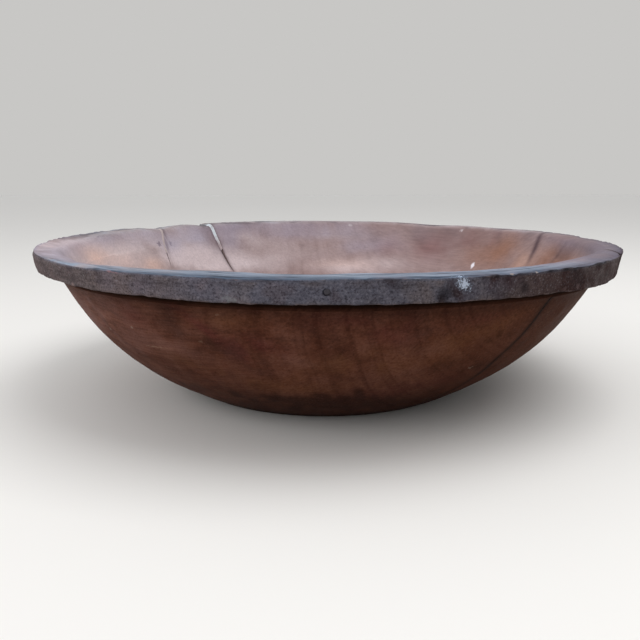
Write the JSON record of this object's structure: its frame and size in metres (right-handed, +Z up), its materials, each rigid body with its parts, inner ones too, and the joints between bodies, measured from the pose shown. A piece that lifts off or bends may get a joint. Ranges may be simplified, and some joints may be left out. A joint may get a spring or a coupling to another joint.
{
  "type": "dough bowl",
  "caption": "Wide turned wooden bowl with a flat foot, curved wall and raised flat rim band, split along the grain and filled at the back.",
  "frame": {"origin": "centre of the flat foot, on the surface that the bowl stands on", "axes": "+Z up along the turning axis; -Y towards the nail in the rim band, the side the picture looks at; +X to the picture's right"},
  "size_m": [0.5594, 0.5594, 0.145],
  "materials": {
    "bowl_wood": "worn satin, dark patina outside, paler greyish inside",
    "pale_filler": "semi-gloss hardened filler",
    "tan_filler": "matt hardened filler",
    "nail_iron": "dull, stained over"
  },
  "bodies": {
    "root": {"bowl": "bowl_wood", "rear_split_filler": "pale_filler", "left_split_filler": "tan_filler", "rim_nail": "nail_iron"}
  },
  "joints": []
}
